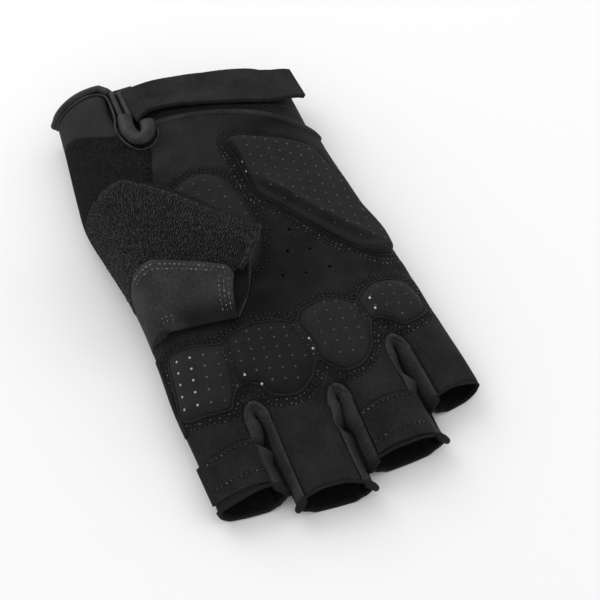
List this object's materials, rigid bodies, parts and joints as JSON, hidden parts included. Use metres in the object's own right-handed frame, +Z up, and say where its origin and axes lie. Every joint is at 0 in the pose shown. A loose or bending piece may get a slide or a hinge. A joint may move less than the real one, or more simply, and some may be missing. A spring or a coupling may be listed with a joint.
{
  "type": "cycling glove",
  "caption": "Padded short-finger cycling glove lying palm up, thumb stall folded over the palm, wrist closed by a sewn strap beside a slit with rolled edges.",
  "frame": {"origin": "under the middle of the glove's bounding box, on the surface that the back of the hand rests on", "axes": "+X from the thumb side to the little finger, +Y from the fingertips to the wrist, +Z up out of the palm"},
  "size_m": [0.1026, 0.1826, 0.037],
  "materials": {
    "suede": "matte synthetic suede with a short nap",
    "terry": "looped terry",
    "knit": "fine stretch knit",
    "pad_cloth": "fine mesh cloth with a lattice of small silicone dots",
    "binding": "smooth rolled binding with a soft sheen"
  },
  "bodies": {
    "root": {"palm_panel": "suede", "wrist_terry": "terry", "cuff_flap": "knit", "cuff_band": "knit", "back_panel": "knit", "fourchette_index_middle": "knit", "fourchette_middle_ring": "knit", "fourchette_ring_little": "knit", "thumb_terry": "terry", "thumb_patch": "suede", "thumb_under": "knit", "knuckle_pad_index": "pad_cloth", "knuckle_pad_middle": "pad_cloth", "knuckle_pad_ring": "pad_cloth", "knuckle_pad_little": "pad_cloth", "ulnar_pad": "pad_cloth", "thenar_pad": "pad_cloth", "pull_tab_index": "suede", "pull_tab_ring": "suede", "slit_binding_left": "binding", "slit_binding_right": "binding", "keyhole_roll": "binding", "cuff_binding": "binding", "closure_strap": "suede"}
  },
  "joints": []
}
